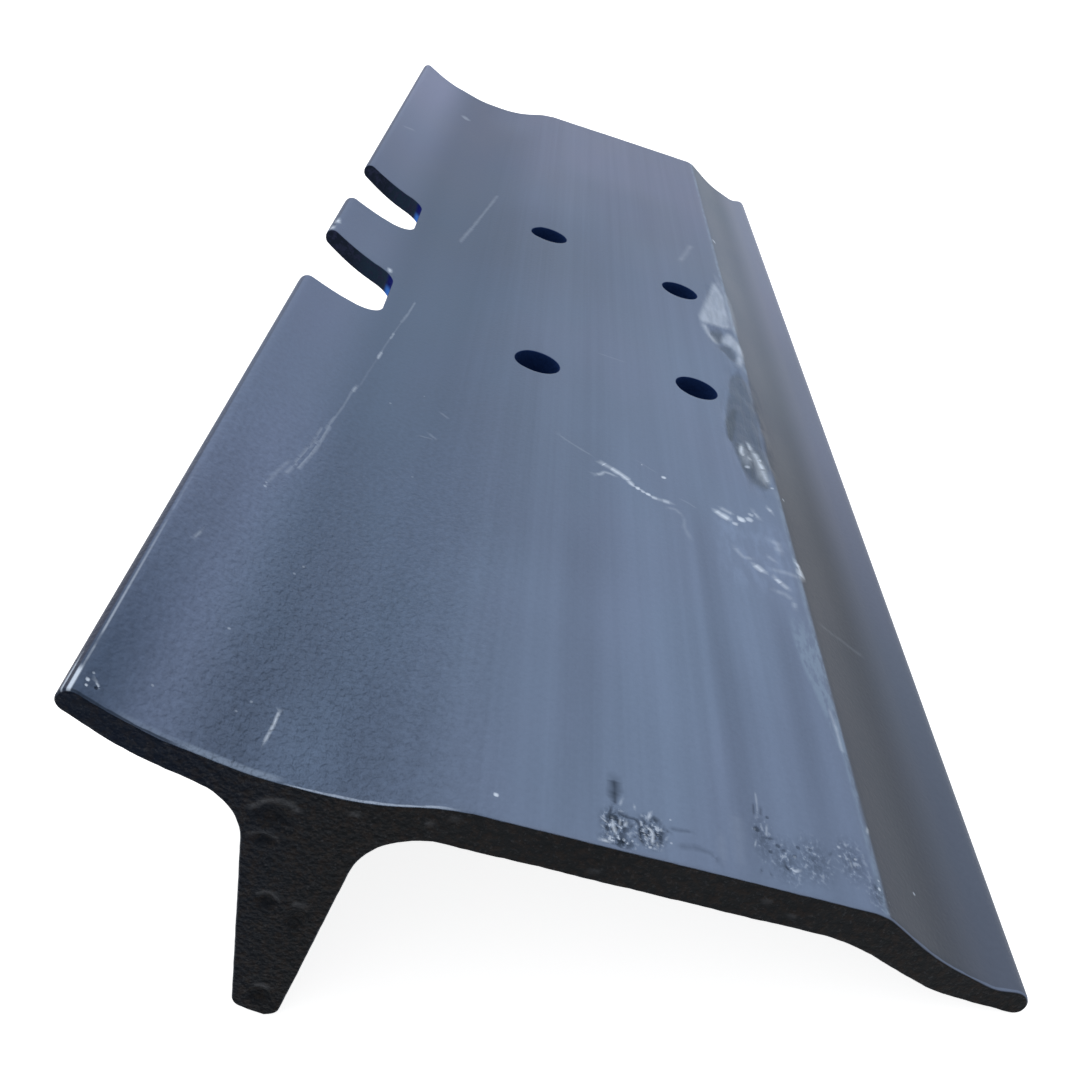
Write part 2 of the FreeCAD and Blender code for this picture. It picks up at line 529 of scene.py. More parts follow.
def rounded_path(corners):
    """Close points of an open path of straights, with an arc at each (x, y, radius) corner."""
    path = [np.array(corners[0][:2])]
    for before, corner, after in zip(corners, corners[1:], corners[2:]):
        point = np.array(corner[:2])
        back = np.array(before[:2]) - point
        onward = np.array(after[:2]) - point
        back /= np.linalg.norm(back)
        onward /= np.linalg.norm(onward)
        half_angle = math.acos(back @ onward) / 2
        reach = corner[2] / math.tan(half_angle)
        bisector = (back + onward) / np.linalg.norm(back + onward)
        centre = point + bisector * corner[2] / math.sin(half_angle)
        start = point + back * reach - centre
        end = point + onward * reach - centre
        sweep = math.pi - 2 * half_angle
        for share in np.linspace(0, 1, arc_steps + 1):
            turned = math.sin((1 - share) * sweep) * start + math.sin(share * sweep) * end
            path.append(centre + turned / math.sin(sweep))
    path.append(np.array(corners[-1][:2]))
    dense = []
    for start, end in zip(path, path[1:]):
        count = max(1, math.ceil(np.linalg.norm(end - start) / (notch_point_spacing / 10)))
        dense.extend(start + (end - start) * i / count for i in range(count))
    return np.array([*dense, path[-1]])


curl_reach = outline_across[curl_tip]
notch_side = [
    (notch_mouth_width / 2 + notch_mouth_flare, curl_reach, 0),
    (notch_mouth_width / 2, curl_reach - notch_mouth_flare, notch_mouth_radius),
    (notch_inner_width / 2, curl_reach - notch_depth, notch_corner_radius),
]
notch_path = rounded_path(notch_side + [(-x, y, radius) for x, y, radius in reversed(notch_side)])

for middle in (-notch_spacing / 2, notch_spacing / 2):
    path_along, path_across = notch_path.T
    moves = [np.hypot(np.diff(path_along), np.diff(path_across)),
             np.abs(np.diff(top_side(path_across))), np.abs(np.diff(under_curl(path_across)))]
    need = np.concatenate([[0], np.max(moves, axis=0).cumsum()])
    wanted = np.linspace(0, need[-1], math.ceil(need[-1] / notch_point_spacing) + 1)
    along = np.interp(wanted, need, path_along) + middle
    across = np.interp(wanted, need, path_across)
    run = np.concatenate([[0], np.hypot(np.diff(along), np.diff(across)).cumsum()])

    loop_around = np.concatenate([top_side(across), under_curl(across[-2:0:-1])])
    skin_loop = np.column_stack([loop_around, np.concatenate([along, along[-2:0:-1]])])
    wall_loop = np.column_stack([np.concatenate([run, run[-2:0:-1]]), up_at(loop_around)])
    corner = on_skin(skin_loop)
    skin_loop = skin_loop + notch_rim_radius * outward(skin_loop)
    inner_loop = wall_loop - notch_rim_radius * outward(wall_loop)

    def on_wall(places):
        return in_space(np.interp(places[:, 0], run, along), np.interp(places[:, 0], run, across),
                        places[:, 1])

    flat, triangles, _ = triangles_between([inner_loop], grid_inside(inner_loop, notch_wall_spacing))
    skin.cover(triangles, on_wall(flat), 0.0, notch_cut=1.0)
    round_rim(skin, on_skin(skin_loop), corner, on_wall(inner_loop), loop_around, "notch_cut")
    holes_in_skin.append(skin_loop)

# Four bolt holes are drilled square to the link face: a wide pair next to the grouser and a
# narrow pair next to the lip. Their edges are barely eased.

hole_rim_radius = 0.0005
hole_points = 60
hole_wall_rows = 6

turn = np.linspace(0, 2 * math.pi, hole_points, endpoint=False)
for name in ("wide_bolt_pair", "narrow_bolt_pair"):
    pair = mounts[name]
    hole_radius = pair["dims"]["hole_r_mm"] * millimetre
    half_spacing = pair["dims"]["pcd_mm"] / 2 * millimetre
    pair_across = np.array(pair["pos_m"]) @ across_axis - across_zero
    for middle in (-half_spacing, half_spacing):
        wall_ends = []
        for side, inwards in ((top_side, -1), (under_plate, 1)):
            along = middle + hole_radius * np.cos(turn)
            across = pair_across + hole_radius * np.sin(turn)
            around = side(across)
            skin_loop = np.column_stack([side(across + hole_rim_radius * np.sin(turn)),
                                         along + hole_rim_radius * np.cos(turn)])
            wall_end = in_space(along, across, up_at(around) + inwards * hole_rim_radius)
            round_rim(skin, on_skin(skin_loop), in_space(along, across, up_at(around)), wall_end,
                      around, "hole_cut")
            holes_in_skin.append(skin_loop)
            wall_ends.append(wall_end)
        rows = [skin.add(wall_ends[0] + (wall_ends[1] - wall_ends[0]) * share, 0.0, hole_cut=1.0)
                for share in np.linspace(0, 1, hole_wall_rows)]
        for lower, upper in zip(rows, rows[1:]):
            skin.bridge(lower, upper)

# Handling has scratched the top through its paint to bright steel, and weld spatter has pitted it
# near one end; a few bright dots among the scratches are painted highlights. Each mark is (width,
# strength from 0 to 1, [(along, across), ...]) in millimetres, and a mark with a single place is a dot.

scratches_and_glints = [
    # Along the curl.
    (1.3, 0.22, [(-42.6, 12.9), (-51.9, 13.7), (-65.8, 15.4)]),
    (1.6, 0.55, [(-77.0, 16.5), (-83.0, 17.2)]),
    (1.0, 0.10, [(-65.8, 15.4), (-96.0, 18.5)]),
    (1.6, 0.50, [(-95.0, 18.3), (-102.5, 19.0)]),
    (1.2, 0.07, [(-103.0, 19.1), (-126.5, 21.3)]),
    (1.8, 0.40, [(-128.5, 22.1), (-133.0, 22.8)]),
    (1.2, 0.16, [(-133.0, 22.9), (-146.4, 23.9), (-159.4, 25.8)]),
    (2.4, 0.26, [(-153.0, 24.9), (-167.1, 26.1), (-180.7, 27.6), (-190.0, 29.3)]),
    (2.0, 0.20, [(-163.0, 26.9), (-175.0, 28.1), (-186.0, 29.8), (-195.0, 31.6)]),
    (1.6, 0.16, [(-166.0, 25.2), (-178.0, 26.4), (-186.0, 27.9)]),
    (2.0, 0.13, [(-188.3, 32.0), (-193.6, 33.2), (-198.9, 34.3), (-205.7, 35.0)]),
    (1.2, 0.40, [(-205.7, 35.0)]), (1.0, 0.30, [(-203.8, 35.2)]), (1.2, 0.22, [(-129.7, 10.0)]),
    (1.0, 0.20, [(-117.3, -0.2)]), (1.0, 0.18, [(-171.2, -3.1)]),
    (1.0, 0.14, [(-145.0, -1.9), (-145.1, -6.9)]), (1.6, 0.15, [(-125.7, -6.8), (-128.9, -9.9)]),
    (1.6, 0.15, [(-142.1, -4.6), (-144.9, -7.6)]),
    (1.1, 0.30, [(-265.3, 29.1)]), (1.0, 0.26, [(-231.6, 18.2)]), (1.0, 0.24, [(-235.9, 19.7)]),
    (1.0, 0.28, [(-292.4, 38.6)]), (1.0, 0.24, [(-284.8, 18.7)]), (1.0, 0.24, [(-289.2, 21.0)]),
    (1.2, 0.24, [(-237.6, 44.0), (-241.6, 44.8)]),
    (1.0, 0.80, [(-284.7, 12.3), (-290.0, 12.6), (-295.1, 13.2)]),
    # At the near end's curled corner.
    (1.1, 0.95, [(-300.1, 49.8)]), (0.9, 0.85, [(-301.7, 49.5)]), (0.8, 0.40, [(-297.8, 49.4)]),
    (1.0, 0.90, [(-299.6, 48.2), (-300.3, 47.6), (-300.8, 47.2)]),
    # On the tongue between the notches: bright dots at its near corner and at the near notch's inner
    # corner are painted highlights. Scratches beyond it.
    (3.6, 1.00, [(-20.0, 53.0), (-17.0, 53.2)]), (3.6, 1.00, [(-12.4, 52.4), (-8.4, 52.6)]),
    (3.0, 0.90, [(-26.0, 26.4), (-22.6, 26.6)]),
    (2.4, 0.16, [(123.0, -9.4), (95.0, -5.5), (64.0, -1.0)]),
    (2.8, 0.20, [(64.0, -1.0), (52.0, 0.8), (41.0, 2.4)]), (8.0, 0.24, [(246.7, 19.8)]),
    (2.6, 0.16, [(158.1, 47.5), (164.8, 42.3)]), (5.0, 0.14, [(98.7, -106.6), (127.2, -114.2)]),
    # The deep one in the middle of the plate, with its fork and its tails.
    (3.2, 1.00, [(-137.7, -62.8), (-138.1, -63.4)]),
    (4.2, 1.00, [(-139.0, -65.5), (-140.2, -67.1), (-141.5, -69.3), (-144.0, -71.8)]),
    (2.8, 0.85, [(-143.9, -71.6), (-145.8, -72.8), (-147.3, -74.9), (-148.6, -76.6), (-150.3, -79.6),
                 (-150.6, -81.8)]),
    (2.3, 1.00, [(-147.3, -74.9)]), (2.2, 0.95, [(-149.3, -78.4)]),
    (2.8, 0.80, [(-150.6, -83.2), (-150.6, -85.8)]),
    (2.2, 0.45, [(-146.0, -60.7), (-145.1, -62.0), (-143.1, -63.2), (-143.1, -65.2), (-143.8, -67.3)]),
    (1.2, 0.16, [(-126.8, -47.6), (-129.7, -51.3), (-134.0, -58.4)]),
    (2.2, 0.90, [(-134.9, -84.6)]), (1.0, 0.50, [(-130.4, -76.9)]),
    (2.0, 0.16, [(-154.5, -84.8), (-154.0, -87.5), (-156.1, -89.3)]),
    (1.2, 0.14, [(-146.3, -89.7), (-147.2, -92.0), (-149.2, -95.1)]),
    (2.6, 0.11, [(-158.1, -90.3), (-163.3, -89.9), (-169.0, -91.4)]),
    (1.0, 0.10, [(-128.9, -75.8), (-130.4, -78.2), (-133.1, -81.9)]),
    (1.6, 0.10, [(-48.6, -62.2), (-49.3, -73.0)]),
    # Beside the lip's fold.
    (3.8, 1.00, [(-147.1, -102.1), (-150.4, -106.6)]), (2.8, 0.45, [(-144.3, -104.1), (-146.2, -108.0)]),
    (3.0, 0.60, [(-152.0, -108.4)]), (4.0, 1.00, [(-148.1, -111.0)]), (3.2, 0.65, [(-146.5, -114.1)]),
    (3.4, 0.50, [(-141.0, -116.3), (-143.7, -117.9)]), (2.8, 0.45, [(-143.0, -115.2)]),
    (2.6, 0.65, [(-134.7, -122.3), (-136.9, -123.3)]), (2.2, 0.40, [(-122.5, -130.7)]),
    (4.6, 0.28, [(-156.7, -120.5), (-156.7, -122.2), (-161.8, -122.7)]),
    (3.0, 0.22, [(-167.2, -106.7), (-169.1, -107.6), (-171.5, -109.2), (-170.8, -112.3)]),
    (3.9, 1.00, [(-174.1, -112.6), (-176.6, -115.2)]), (3.0, 0.22, [(-166.4, -118.0), (-168.8, -120.5)]),
    (3.8, 0.90, [(-178.6, -119.1), (-180.5, -120.7)]), (3.2, 0.55, [(-180.5, -120.7), (-182.8, -122.8)]),
    (3.4, 0.26, [(-185.7, -118.1), (-186.0, -121.2), (-188.0, -123.1)]),
    (2.8, 0.30, [(-189.2, -123.6), (-192.3, -123.2)]),
    (3.0, 0.20, [(-174.0, -118.4), (-173.5, -123.5), (-173.8, -127.4)]),
    (4.6, 1.00, [(-166.2, -129.4), (-171.5, -129.2)]), (3.4, 1.00, [(-164.2, -128.4), (-167.0, -129.6)]),
    (1.8, 0.30, [(-236.5, -126.3), (-244.1, -127.0), (-252.8, -127.2)]),
    # Flecks on the crushed fold.
    (2.6, 0.95, [(-91.0, -118.2), (-95.0, -117.6), (-99.4, -118.0)]), (2.4, 0.75, [(-107.6, -118.5)]),
    (2.6, 0.90, [(-86.6, -121.1), (-91.6, -122.0)]), (2.4, 0.70, [(-98.6, -119.6), (-101.6, -120.2)]),
    (3.0, 0.95, [(-93.2, -123.0), (-100.3, -124.4), (-104.6, -125.0)]), (2.4, 0.80, [(-97.8, -124.9)]),
    (3.2, 0.90, [(-105.4, -124.5), (-109.0, -125.2), (-113.6, -125.9)]), (1.8, 0.60, [(-118.0, -126.8)]),
    (3.6, 0.70, [(154.3, -130.6)]),
    # On the lip.
    (2.4, 0.07, [(-192.6, -133.4), (-189.5, -143.2), (-189.8, -151.4)]), (1.2, 0.50, [(-287.8, -142.6)]),
    # Pale tips of the spatter by the near end.
    (1.5, 0.95, [(-297.9, -37.2)]),
    (1.3, 0.85, [(-295.8, -63.9), (-298.2, -63.8), (-300.2, -64.4)]),
    (1.1, 0.60, [(-295.3, -65.5), (-297.8, -65.4)]), (1.1, 0.65, [(-296.0, -67.0), (-297.6, -66.6)]),
    (1.0, 0.55, [(-290.7, -68.9), (-291.7, -68.9)]), (1.2, 0.75, [(-291.7, -72.8), (-293.6, -72.3)]),
    (1.2, 0.85, [(-295.8, -71.6), (-297.2, -71.0), (-298.8, -71.2), (-299.5, -71.9)]),
    (1.2, 0.85, [(-295.8, -71.6), (-296.6, -72.7), (-298.2, -73.1), (-300.4, -72.8)]),
    (1.0, 0.60, [(-295.1, -74.4), (-297.8, -74.4)]), (1.2, 0.60, [(-301.9, -72.2)]),
    (1.0, 0.50, [(-300.0, -74.1), (-301.2, -74.1)]), (1.0, 0.60, [(-296.7, -61.0), (-297.7, -62.6)]),
    (1.0, 0.50, [(-299.1, -61.0), (-299.7, -61.8)]), (1.3, 0.85, [(-303.2, -61.0), (-302.9, -62.8)]),
    (0.9, 0.50, [(-298.6, -68.8), (-298.8, -69.6)]), (0.9, 0.50, [(-299.5, -67.3), (-300.0, -67.5)]),
    (0.9, 0.45, [(-301.4, -68.2)]), (0.9, 0.45, [(-301.5, -66.3)]), (0.9, 0.40, [(-292.4, -77.4)]),
    (0.9, 0.40, [(-299.3, -77.2)]), (0.9, 0.45, [(-289.9, -66.1), (-291.8, -65.6)]),
    (0.9, 0.25, [(-276.7, -99.8), (-280.2, -99.7), (-283.7, -99.3)]),
    (1.0, 0.40, [(-286.4, -101.4), (-289.8, -100.9)]), (0.9, 0.40, [(-291.9, -98.2), (-294.0, -97.6)]),
    (5.0, 0.06, [(-286.0, -93.8), (-300.5, -93.4)]), (4.0, 0.05, [(-293.0, -89.5), (-301.0, -89.0)]),
    (1.3, 0.85, [(-297.2, -105.4), (-298.4, -106.5), (-297.9, -107.9)]),
    (1.1, 0.40, [(-287.5, -119.2)]), (1.0, 0.40, [(-285.7, -121.2), (-286.7, -121.3)]),
    (1.2, 0.55, [(-290.2, -125.1), (-290.8, -125.3)]), (0.9, 0.30, [(-291.1, -121.5), (-293.0, -121.6)]),
    (1.0, 0.40, [(-290.0, -123.0)]), (1.0, 0.40, [(-290.3, -119.0)]), (1.3, 0.65, [(-297.0, -127.7)]),
    (1.0, 0.45, [(-294.4, -128.1)]), (1.2, 0.45, [(-277.8, -129.0), (-279.9, -128.5)]),
]
pits = [
    (4.8, 1.00, [(-284.2, -64.4), (-287.4, -64.5), (-290.4, -64.4), (-291.8, -64.4)]),
    (1.3, 0.80, [(-292.4, -63.6), (-296.5, -63.0)]),
    (1.5, 0.85, [(-293.9, -64.9), (-294.9, -67.8), (-294.8, -69.2), (-296.1, -70.3), (-300.0, -70.2),
                 (-301.1, -70.7)]),
    (1.5, 0.80, [(-292.8, -73.3), (-293.8, -74.7)]), (1.4, 0.80, [(-296.1, -75.3), (-300.4, -75.0)]),
    (1.2, 0.60, [(-295.8, -76.1), (-296.3, -77.0)]), (2.0, 0.38, [(-295.1, -77.2), (-294.6, -82.4)]),
    (2.2, 0.34, [(-299.6, -78.9), (-298.8, -82.8), (-299.4, -86.6), (-301.5, -88.4)]),
    (1.2, 0.70, [(-300.4, -68.4), (-299.9, -69.2)]), (1.1, 0.60, [(-301.2, -62.0), (-301.1, -62.9)]),
    (1.2, 0.70, [(-298.6, -62.3), (-300.6, -62.6)]), (1.3, 0.70, [(-302.2, -65.0), (-302.0, -67.0)]),
    (1.2, 0.60, [(-296.6, -68.6), (-297.8, -67.9)]), (1.2, 0.70, [(-298.2, -72.1)]),
    (1.8, 0.80, [(-288.3, -98.7)]), (1.3, 0.75, [(-290.4, -101.0), (-290.2, -102.6)]),
    (1.0, 0.60, [(-280.5, -98.8), (-284.0, -98.5)]), (1.0, 0.60, [(-281.2, -100.7), (-283.7, -100.4)]),
    (1.2, 0.50, [(-283.9, -101.9)]), (1.4, 0.60, [(-294.4, -101.3)]), (1.2, 0.55, [(-292.0, -103.5)]),
    (1.2, 0.50, [(-292.9, -104.8)]), (1.4, 0.55, [(-293.9, -107.3)]), (1.2, 0.50, [(-291.0, -108.5)]),
    (1.1, 0.40, [(-290.7, -111.6)]), (1.3, 0.75, [(-297.2, -104.4), (-298.5, -105.4)]),
    (1.1, 0.55, [(-300.3, -98.4), (-301.2, -98.2)]), (1.1, 0.55, [(-300.6, -100.4), (-301.7, -100.7)]),
    (1.1, 0.45, [(-285.8, -119.8), (-286.4, -120.0)]), (1.1, 0.45, [(-289.6, -117.2), (-291.2, -116.1)]),
    (1.1, 0.50, [(-294.0, -111.9), (-294.8, -112.6)]), (1.1, 0.45, [(-291.7, -122.7), (-293.7, -122.5)]),
    (1.3, 0.60, [(-296.6, -126.8), (-297.6, -126.5)]), (1.0, 0.80, [(-301.0, 47.7)]),
]
mark_spacing = 0.0007
mark_wobble = 0.00014
mark_unevenness = 0.25
mark_end_share = 0.4
shortest_mark_change = 0.0016
wobble_seed, width_seed, depth_seed = 50, 150, 250
dot_points = 8
dot_core = 0.5
dot_core_share = 0.85

mark_points = []
mark_middles = []
mark_reaches = []
mark_readings = {"bare": [], "pitted": []}
ring = np.linspace(0, 2 * math.pi, dot_points, endpoint=False)
for number, (kind, (width, strength, path)) in enumerate(
        [("bare", mark) for mark in scratches_and_glints] + [("pitted", mark) for mark in pits]):
    along, across = np.array(path).T * millimetre
    corners = np.column_stack([top_side(across), along])
    half_width = width / 2 * millimetre
    if len(path) == 1:
        edge = np.column_stack([np.cos(ring), np.sin(ring)]) * half_width
        edge *= (1 + mark_unevenness * uneven(ring, number, 1.5))[:, None]
        points = [corners, corners + edge * dot_core, corners + edge]
        strengths = [[strength], np.full(dot_points, strength * dot_core_share), np.zeros(dot_points)]
    else:
        reached = np.concatenate([[0], np.linalg.norm(np.diff(corners, axis=0), axis=1).cumsum()])
        wanted = np.linspace(0, reached[-1], math.ceil(reached[-1] / mark_spacing) + 1)
        line = np.column_stack([np.interp(wanted, reached, side) for side in corners.T])
        heading = np.gradient(line, axis=0)
        sideways = np.column_stack([heading[:, 1], -heading[:, 0]])
        sideways /= np.linalg.norm(heading, axis=1)[:, None]
        line += sideways * mark_wobble * uneven(wanted, wobble_seed + number)[:, None]
        width_share = 1 + mark_unevenness * uneven(wanted, width_seed + number)
        edge = sideways * half_width * width_share[:, None]
        depth = strength * (0.8 + 0.2 * uneven(wanted, depth_seed + number, shortest_mark_change))
        depth[[0, -1]] *= mark_end_share
        points = [line, line + edge, line - edge]
        strengths = [depth, np.zeros(len(line)), np.zeros(len(line))]
    mark_points.extend(points)
    mark_middles.append(points[0])
    mark_reaches.extend([half_width] * len(points[0]))
    for name, values in mark_readings.items():
        values.extend(np.multiply(side, name == kind) for side in strengths)
mark_points = np.vstack(mark_points)
mark_readings = {name: np.concatenate(values) for name, values in mark_readings.items()}

# A link of the chain has crushed the fold above the lip near mid-length, and left bright facets and
# dents; the facets are bare steel lightened with painted highlights. Weld spatter and scale mar the
# plate beside the near end. A zone is (along, across, half length, half width) and a facet (how bare,
# [(along, across), ...]), in millimetres.

crushed_zones = [
    (45, -120, 30, 7), (8, -120, 20, 8), (-8, -124, 16, 5), (-45, -124, 30, 9), (-80, -122, 52, 13),
    (-110, -121, 22, 8),
]
scaly_zones = [(-297.5, -64.5, 5.5, 4.4), (-297.5, -72.5, 6, 4.4), (-302.5, -65, 2.5, 5)]
speckled_zones = [
    (-291, -100, 9, 3.5), (-296, -105, 9, 6), (-294, -112, 9, 6), (-291, -122, 9, 5),
    (-299, -127, 7, 4),
]
bare_and_highlit_facets = [
    (0.43, [(80.9, -123), (54.4, -116.9), (28.6, -111.2), (21.3, -111), (24, -117.6), (23.8, -122),
            (24.1, -125.5), (40, -126), (62, -126.5)]),
    (0.14, [(78.4, -124.9), (62, -126.5), (40, -126), (24.1, -125.5), (20, -129), (50, -131),
            (67, -130.1)]),
    (0.42, [(20.1, -110.9), (10, -113), (5.1, -115.4), (2.9, -118.5), (9, -117.6), (19.5, -113.3)]),
    (0.48, [(11.3, -120.7), (18.2, -123.9), (12.8, -126.8), (4.6, -129.6), (-8, -128.4),
            (-18.5, -125.5), (-16, -124.9), (-2.4, -127), (3.4, -123.8), (4.8, -121)]),
    (0.60, [(-3, -127.5), (-8, -128.4), (-18.5, -125.5), (-16, -124.9), (-6, -126.4)]),
    (0.35, [(-91, -116.8), (-96, -117.5), (-103.7, -117.3), (-108.1, -118.8), (-103.9, -119.7),
            (-99.1, -118.7), (-91.4, -120)]),
    (0.38, [(-86.6, -122.6), (-92.7, -123.1), (-95.6, -124.7), (-102.1, -126.3), (-111.5, -126.6),
            (-117.2, -124.6), (-114, -122.7), (-104.6, -122.3), (-97.4, -121.7)]),
    (0.22, [(100.3, -125.4), (84.5, -125.5), (74.2, -127.2), (63.4, -130.3), (60, -129),
            (80, -124.5)]),
]
crushed_dents = [
    (0.55, [(21.6, -114.5), (16.8, -117.4), (18.7, -121.5), (9.6, -121.5), (3.3, -119),
            (4.2, -115.8)]),
    (0.45, [(-0.2, -117.2), (5.1, -121.6), (-0.5, -125.7), (-13.7, -125.2), (-11.4, -122.6),
            (-5.4, -119.1)]),
    (0.50, [(-18, -122), (-27, -120.4), (-51, -116.1), (-73, -113), (-85, -113.4), (-95, -114.6),
            (-104, -114.9), (-111, -115.6), (-117, -118.1), (-122, -122.5), (-122, -127),
            (-101, -129.2), (-85, -127.6), (-70, -128.6), (-54, -129.6), (-39, -128.2), (-18, -126.4)]),
    (0.85, [(-60, -116.9), (-75, -112.9), (-88, -112.5), (-91, -115.2), (-76, -118), (-60, -120.2)]),
    (0.70, [(-88, -114.6), (-110, -116), (-121, -122), (-119, -126.2), (-100, -128), (-89, -125)]),
]
crushed_zone_share = 0.5
scaly_fade = 0.6
speckled_fade = 0.9
speckled_share = 0.5
facet_softness = 0.0009
facet_offsets = [np.array((x, 2 * y)) * facet_softness for x in (-1, 0, 1) for y in (-1, 0, 1)]


def in_facets(flat, facets):
    """How bare or deep the outlined facets make each place on the skin's top."""
    found = np.zeros(len(flat))
    for amount, corners in facets:
        along, across = np.array(corners).T * millimetre
        loop = np.column_stack([top_side(across), along])
        share = np.mean([inside(flat + offset, loop) for offset in facet_offsets], axis=0)
        found = np.maximum(found, amount * share)
    return found


# The rolled skin itself: triangles through points that lie close together on the top, where the
# bar is seen and worn, and further apart underneath. Two places on the top are worn more finely.

top_spacing = 0.0024
under_spacing = 0.0046
along_spacing = 0.0027
stop_turn = math.radians(13)
mark_gap = 0.0005
# Each is (lowest along, highest along, lowest across, highest across, spacing along, across).
fine_places = [
    (-0.128, 0.100, -0.1345, -0.109, 0.0014, 0.0008),
    (-0.3035, -0.268, -0.131, -0.055, 0.0008, 0.0008),
]

stops = outline_stops(top_spacing, under_spacing, stop_turn)
station_count = math.ceil(2 * half_length / along_spacing)
stations = np.linspace(-half_length, half_length, station_count + 1)
around_grid, along_grid = np.meshgrid(stops[1:-1], stations[1:-1], indexing="ij")
on_top = (around_grid > outline_around[curl_tip]) & (around_grid < outline_around[lip_tip])
sparse = on_top | (np.arange(len(stations) - 2) % 2 == 0)
grid = np.column_stack([around_grid[sparse], along_grid[sparse]])
for low_along, high_along, low_across, high_across, fine_along, fine_across in fine_places:
    first, last = top_side(high_across), top_side(low_across)
    rough = ((grid[:, 0] > first) & (grid[:, 0] < last)
             & (grid[:, 1] > low_along) & (grid[:, 1] < high_along))
    fine_rows = np.meshgrid(np.arange(first, last, fine_across),
                            np.arange(low_along, high_along, fine_along), indexing="ij")
    fine_rows[1][::2] += fine_along / 2
    fine = np.stack(fine_rows, axis=-1).reshape(-1, 2)
    grid = np.vstack([grid[~rough], fine])

seam_stations = stations[(stations > -half_length + 2 * end_rim_radius)
                         & (stations < half_length - 2 * end_rim_radius)]
near_rim, far_rim = end_rims[-1], end_rims[1]
edge_of_skin = np.vstack([
    near_rim, (girth, near_rim[0, 1]),
    np.column_stack([np.full(len(seam_stations), girth), seam_stations]),
    (girth, far_rim[0, 1]), far_rim[::-1],
    np.column_stack([np.zeros(len(seam_stations)), seam_stations[::-1]]),
])
loops = [edge_of_skin, *holes_in_skin]
for loop in holes_in_skin:
    grid = grid[~inside(grid, loop)]
grid = grid[inside(grid, edge_of_skin)]
grid = clear_of(grid, np.vstack([*loops, mark_points]), mark_gap)
grid = clear_of(grid, np.vstack(mark_middles), mark_reaches)
flat, triangles, sources = triangles_between(loops, np.vstack([mark_points, grid]))

first_mark = sum(len(loop) for loop in loops)
is_mark = (sources >= first_mark) & (sources < first_mark + len(mark_points))
marked = {}
for name, values in mark_readings.items():
    marked[name] = np.zeros(len(flat))
    marked[name][is_mark] = values[sources[is_mark] - first_mark]
around, along = flat.T
across = across_at(around)
on_top = (around > outline_around[curl_tip]) & (around < outline_around[lip_tip])
crushed = (in_zones(along, across, crushed_zones) * crushed_zone_share
           + in_facets(flat, crushed_dents) * (1 - crushed_zone_share))
scaly = np.maximum(in_zones(along, across, scaly_zones, scaly_fade),
                   in_zones(along, across, speckled_zones, speckled_fade) * speckled_share)
skin.cover(triangles, on_skin(flat), around, crushed=crushed * on_top, scaly=scaly * on_top,
           bare=np.maximum(marked["bare"], in_facets(flat, bare_and_highlit_facets)) * on_top,
           pitted=marked["pitted"])

mesh = bpy.data.meshes.new("rolled_shoe")
mesh.from_pydata([tuple(point) for point in skin.points], [], skin.faces)
for name, values in skin.readings.items():
    reading = mesh.attributes.new(name, "FLOAT", "POINT")
    reading.data.foreach_set("value", values)
body = bmesh.new()
body.from_mesh(mesh)
bmesh.ops.remove_doubles(body, verts=body.verts, dist=weld_distance)
bmesh.ops.recalc_face_normals(body, faces=body.faces)
body.to_mesh(mesh)
body.free()
mesh.shade_smooth()
worn_shoe = bpy.data.objects.new("rolled_shoe", mesh)
bpy.context.scene.collection.objects.link(worn_shoe)

# The paint is one coat of semi-gloss blue-grey, sprayed over the rolled skin and its scale. The
# cut ends, notches and holes are near black: dark cut steel, deepened with painted shade. Where it
# is rubbed or scratched, steel shows.

paint_blue = (0.166, 0.218, 0.332, 1.0)
far_blue = (0.190, 0.221, 0.336, 1.0)
# The curl's and lip's colours hold painted shade at the near end and the fold, and painted sheen at the
# far end.
curl_blue_near_shade = (0.143, 0.186, 0.294, 1.0)
curl_blue_far_sheen = (0.238, 0.276, 0.425, 1.0)
lip_grey_near_shade = (0.097, 0.118, 0.168, 1.0)
lip_fold_grey_in_shade = (0.061, 0.071, 0.095, 1.0)
lip_grey_far_sheen = (0.258, 0.292, 0.410, 1.0)
lip_fold_grey_far_sheen = (0.128, 0.164, 0.234, 1.0)
under_blue = (0.040, 0.050, 0.068, 1.0)
crushed_grey = (0.126, 0.166, 0.222, 1.0)
rubbed_blue = (0.220, 0.295, 0.415, 1.0)
tip_painted_shade = (0.055, 0.065, 0.100, 1.0)
edge_pale_wear_and_highlight = (0.400, 0.480, 0.620, 1.0)
edge_blue_wear_and_highlight = (0.210, 0.270, 0.375, 1.0)
edge_grey_wear_and_highlight = (0.185, 0.235, 0.350, 1.0)
dark_scale = (0.018, 0.030, 0.052, 1.0)
bare_steel_and_glints = (0.690, 0.790, 0.940, 1.0)
cut_black_and_shade = (0.0115, 0.0130, 0.0150, 1.0)
cut_blue_black_and_shade = (0.0045, 0.0085, 0.0185, 1.0)
cut_rust = (0.023, 0.019, 0.018, 1.0)
cut_scraped = (0.095, 0.100, 0.112, 1.0)
notch_navy_and_shade = (0.022, 0.042, 0.074, 1.0)
notch_dark_and_shade = (0.014, 0.021, 0.040, 1.0)
notch_violet = (0.027, 0.034, 0.072, 1.0)
notch_low_blue = (0.060, 0.230, 0.800, 1.0)
notch_high_blue = (0.006, 0.012, 0.150, 1.0)
hole_navy_and_shade = (0.011, 0.032, 0.120, 1.0)
hollow_shade = (0.66, 0.70, 0.72, 1.0)
corner_shade = (0.48, 0.53, 0.56, 1.0)
teal_tint = (0.975, 1.00, 0.99, 1.0)
paint_reflection = 0.05
coat_roughness = 0.35
coat_weight = 0.06

paint = bpy.data.materials.new("worn_blue_grey_paint")
paint.use_nodes = True
nodes = Nodes(paint.node_tree)
surface = paint.node_tree.nodes["Principled BSDF"]
surface.inputs["Specular IOR Level"].default_value = paint_reflection
surface.inputs["Coat Roughness"].default_value = coat_roughness

